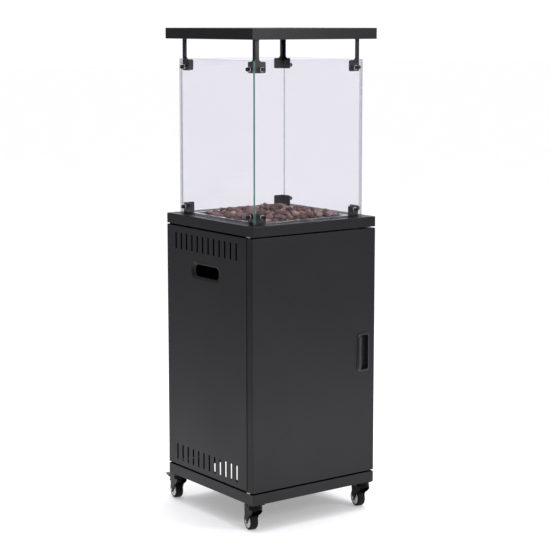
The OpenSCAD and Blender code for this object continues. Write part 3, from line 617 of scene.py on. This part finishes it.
def glass_pane(node, edge):
    """A pane with ground edges."""
    pane = softened(node, 0.7, material=glass)
    low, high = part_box(node)
    across = min(range(3), key=lambda axis: high[axis] - low[axis])
    paint(pane, edge, lambda face: abs(face.normal[across]) <= 0.99)


folded = {name: softened(name, radius, open_side, dish) for name, (open_side, radius, dish) in FOLDED.items()}
# painted shade: the door's side returns get the darker copy of the coat
paint(folded["door_shell"], door_side_shade_coat,
      lambda face: abs(face.normal.x) > 0.9 and abs(face.center.x) > INNER_HALF)
for name, radius in EDGE_RADIUS.items():
    softened(name, radius)
for corner in ("fl", "fr", "rl", "rr"):
    for part in ("post_", "fork_", "wheel_"):
        softened(part + corner, 0.5)
for corner in ("rl", "rr"):
    softened("brake_" + corner, 0.8)
# each pane's edge gets a painted lit or painted shaded copy of the ground edge
for side, edge in (("front", green_edge_painted_shade), ("left", green_edge_painted_light), ("rear", grey_edge_painted_shade), ("right", grey_edge_painted_shade)):
    glass_pane("glass_" + side, edge)

for name, cad in nodes.items():
    if not cad.hide_render and name != "lava_rocks":
        cad.data.materials.clear()
        cad.data.materials.append(FINISH_OF_SLOT[slot_of_node[name]])


# ---------- lava stones ----------

STONE_SEED = 41
STONE_TONES = {
    # name: dark, light, vein, share of the stones
    "umber": ((0.060, 0.030, 0.026), (0.17, 0.095, 0.080), (0.26, 0.17, 0.14), 0.22),
    "russet": ((0.110, 0.045, 0.038), (0.27, 0.135, 0.115), (0.38, 0.23, 0.19), 0.22),
    "mauve": ((0.120, 0.072, 0.078), (0.31, 0.215, 0.225), (0.42, 0.32, 0.33), 0.24),
    "rose": ((0.200, 0.100, 0.100), (0.48, 0.300, 0.295), (0.55, 0.40, 0.38), 0.20),
    "ochre": ((0.150, 0.085, 0.040), (0.38, 0.250, 0.140), (0.45, 0.33, 0.21), 0.12),
}


def unit_vector(rng):
    z = rng.uniform(-1, 1)
    turn = rng.uniform(0, math.tau)
    flat = math.sqrt(1 - z * z)
    return Vector((flat * math.cos(turn), flat * math.sin(turn), z))


def ball(detail):
    """Vertices on a unit ball, and its triangles."""
    bm = bmesh.new()
    bmesh.ops.create_icosphere(bm, subdivisions=detail, radius=1)
    points = np.array([v.co for v in bm.verts])
    faces = np.array([[v.index for v in f.verts] for f in bm.faces])
    bm.free()
    return points / np.linalg.norm(points, axis=1)[:, None], faces


COARSE, FINE = 2, 3                                    # subdivisions of a stone's ball
BALLS = {detail: ball(detail) for detail in (COARSE, FINE)}
CHIPS, CHIP_DEPTHS = 9, (0.58, 0.95)                   # flat breaks on each stone, and how far out they lie
FACING, BULGE = 0.08, 1.18                             # least slant of a break, and the most a stone bulges

# The two courses of stones: pitch, smallest and largest radius and drop below the deck's top, all in mm,
# and detail
COURSES = ((26, 9, 11.5, 16, COARSE), (25.0, 8.5, 12.0, 0, FINE))
SIDE_GAP = 4                                           # mm
STRAY = 0.24                                           # share of the pitch that a stone strays by


def stone_points(rng, size, detail):
    """One broken lump of lava round the origin: a ball cut by flat breaks, then roughened and pitted."""
    points = BALLS[detail][0]
    breaks = np.array([unit_vector(rng) for _ in range(CHIPS)])
    depths = np.array([rng.uniform(*CHIP_DEPTHS) for _ in range(CHIPS)])
    along = points @ breaks.T
    reach = np.where(along > FACING, depths / np.maximum(along, FACING), 9.0).min(axis=1)
    seed = Vector((rng.uniform(-50, 50), rng.uniform(-50, 50), rng.uniform(-50, 50)))
    rough = np.array([
        0.12 * noise.noise(Vector(p) * 2.0 + seed) + 0.08 * noise.noise(Vector(p) * 5.5 + seed)
        - 0.22 * max(0.0, 0.40 - noise.voronoi(Vector(p) * 4.0 + seed)[0][0]) for p in points
    ])
    shape = points * (np.minimum(reach, BULGE) + rough)[:, None]
    shape *= size * np.array([rng.uniform(0.95, 1.25), rng.uniform(0.8, 1.0), rng.uniform(0.68, 0.88)])
    turn = Matrix.Rotation(rng.uniform(0, math.tau), 3, "Z") @ Matrix.Rotation(rng.uniform(-0.5, 0.5), 3, "X")
    return shape @ np.array(turn).T


def stone_places(rng):
    """(x, y, radius, height of the middle, detail) of each stone: a lower course carries an upper one."""
    half = rocks_high.x - SIDE_GAP * MM
    places = []
    for pitch_mm, low, high, drop, detail in COURSES:
        pitch = pitch_mm * MM
        rows = int(2 * half / (pitch * 0.88))
        for row in range(rows):
            y = -half + (row + 0.5) * 2 * half / rows
            count = int(2 * half / pitch)
            for step in range(count):
                x = -half + (step + 0.5 + (row % 2) * 0.35 - 0.17) * 2 * half / count
                x += rng.uniform(-STRAY, STRAY) * pitch
                spot_y = y + rng.uniform(-STRAY, STRAY) * pitch
                radius = rng.uniform(low, high) * MM
                from_middle = math.hypot(x, spot_y) / half
                if detail == FINE and rng.random() < 0.08 + 0.25 * max(0.0, from_middle - 0.75):
                    continue                           # a gap in the upper course
                crown = 1 - 0.6 * from_middle ** 2
                middle = deck_top + (0.5 + 8 * crown + rng.uniform(-4, 5)) * MM - drop * MM
                places.append((x, spot_y, radius, middle, detail))
    return places


def lava_bed():
    """Loose stones in five tones, each tone one piece, lying where the CAD model has its domed solid."""
    rng = random.Random(STONE_SEED)
    tones = list(STONE_TONES)
    weights = [STONE_TONES[t][3] for t in tones]
    gathered = {t: ([], [], []) for t in tones}
    edge = rocks_high.x
    for x, y, radius, middle, detail in stone_places(rng):
        tone = rng.choices(tones, weights)[0]
        points = stone_points(rng, radius, detail) + np.array([x, y, middle])
        too_high = points[:, 2].max() - (rocks_high.z - 0.5 * MM)
        points[:, 2] -= max(0.0, too_high)
        for axis in (0, 1):
            points[:, axis] -= max(0.0, points[:, axis].max() - edge)
            points[:, axis] += max(0.0, -edge - points[:, axis].min())
        vertices, faces, shades = gathered[tone]
        faces.append(BALLS[detail][1] + sum(len(v) for v in vertices))
        vertices.append(points)
        shades.append(np.full(len(points), rng.random()))
    for tone, (vertices, faces, shades) in gathered.items():
        mesh = bpy.data.meshes.new("stones_" + tone)
        mesh.from_pydata(np.vstack(vertices).tolist(), [], np.vstack(faces).tolist())
        own = mesh.attributes.new("stone", "FLOAT", "POINT")
        own.data.foreach_set("value", np.concatenate(shades).astype(np.float32))
        dark, light, vein, _ = STONE_TONES[tone]
        stone = piece_from("stones_" + tone, mesh, [lava_stone("lava_" + tone, dark, light, vein)],
                           "cabinet", "lava_stone", "lava_rocks")
        for face in stone.data.polygons:
            face.use_smooth = True


lava_bed()


# ---------- studio ----------

CAMERA_AZIMUTH, CAMERA_ELEVATION = math.radians(-36.15), math.radians(8.15)
CAMERA_DISTANCE = 4.552
CAMERA_TARGET = Vector((0.011, -0.008, 0.730))
CAMERA_LENS, CAMERA_SHIFT = 105.5, -0.04
FLOOR_SIZE = 80
SKY_COLOUR = (0.985, 0.975, 1.03, 1)
CEILING_LEVEL, BACKDROP_LEVEL, SIDE_LEVEL, LEFT_LEVEL = 1.55, 1.04, 0.27, 0.16
SOFTBOXES = (
    # name, place, target, width and height in metres, power
    ("overhead", (0.2, 0.1, 3.2), (0, 0, 0), 2.4, 2.4, 60),
    ("front_right", (0.95, -2.85, 1.9), (0, 0, 1.3), 1.1, 1.0, 9),
    ("tall_strip", (1.2, -2.7, 1.75), (-0.2, -0.2, 1.1), 0.4, 0.8, 20),
    ("front_left", (-2.9, -1.5, 2.1), (0, 0, 0.8), 0.8, 0.8, 5),
)


def aim(obj, target):
    obj.rotation_euler = (target - obj.location).to_track_quat("-Z", "Y").to_euler()


def make_camera():
    data = bpy.data.cameras.new("camera")
    data.lens = CAMERA_LENS
    data.shift_y = CAMERA_SHIFT
    camera = bpy.data.objects.new("camera", data)
    bpy.context.scene.collection.objects.link(camera)
    level = math.cos(CAMERA_ELEVATION)
    back = Vector((math.sin(CAMERA_AZIMUTH) * level, -math.cos(CAMERA_AZIMUTH) * level,
                   math.sin(CAMERA_ELEVATION)))
    camera.location = CAMERA_TARGET + back * CAMERA_DISTANCE
    aim(camera, CAMERA_TARGET)
    bpy.context.scene.camera = camera


def make_softbox(name, place, target, width, height, power):
    data = bpy.data.lights.new(name, "AREA")
    data.shape = "RECTANGLE"
    data.size, data.size_y = width, height
    data.energy = power
    light = bpy.data.objects.new(name, data)
    light.location = place
    light.visible_camera = False
    bpy.context.scene.collection.objects.link(light)
    aim(light, Vector(target))


def make_floor():
    bpy.ops.mesh.primitive_grid_add(x_subdivisions=8, y_subdivisions=8, size=FLOOR_SIZE)
    floor = bpy.context.object
    floor.name = "floor"
    floor.data.materials.append(studio_floor())


def make_sky():
    """The studio round the floor: a bright ceiling, a white backdrop behind the heater, dimmer sides.

    The camera itself sees the backdrop's white all round.
    """
    world = bpy.data.worlds.new("studio")
    bpy.context.scene.world = world
    world.use_nodes = True
    tree = world.node_tree
    tree.nodes.clear()
    link = tree.links.new
    direction = tree.nodes.new("ShaderNodeTexCoord").outputs["Generated"]

    def towards(x, y, z):
        node = tree.nodes.new("ShaderNodeVectorMath")
        node.operation = "DOT_PRODUCT"
        node.inputs[1].default_value = (x, y, z)
        link(direction, node.inputs[0])
        return node.outputs["Value"]

    def blend(value, low, high, at_low, at_high):
        node = tree.nodes.new("ShaderNodeMapRange")
        node.interpolation_type = "SMOOTHSTEP"
        link(value, node.inputs["Value"])
        node.inputs["From Min"].default_value, node.inputs["From Max"].default_value = low, high
        for name, level in (("To Min", at_low), ("To Max", at_high)):
            if isinstance(level, float):
                node.inputs[name].default_value = level
            else:
                link(level, node.inputs[name])
        return node.outputs[0]

    sides = blend(towards(-0.86, 0.5, 0), 0.1, 0.8, SIDE_LEVEL, LEFT_LEVEL)
    walls = blend(towards(*PHOTO_AWAY), 0.80, 0.93, sides, BACKDROP_LEVEL)
    mirrored = blend(towards(0, 0, 1), 0.55, 0.85, walls, CEILING_LEVEL)
    seen = tree.nodes.new("ShaderNodeLightPath").outputs["Is Camera Ray"]
    level = blend(seen, 0.0, 1.0, mirrored, BACKDROP_LEVEL)
    sky = tree.nodes.new("ShaderNodeBackground")
    sky.inputs["Color"].default_value = SKY_COLOUR
    link(level, sky.inputs["Strength"])
    link(sky.outputs[0], tree.nodes.new("ShaderNodeOutputWorld").inputs["Surface"])


make_camera()
make_floor()
make_sky()
for softbox in SOFTBOXES:
    make_softbox(*softbox)
bpy.context.scene.view_settings.view_transform = "Standard"
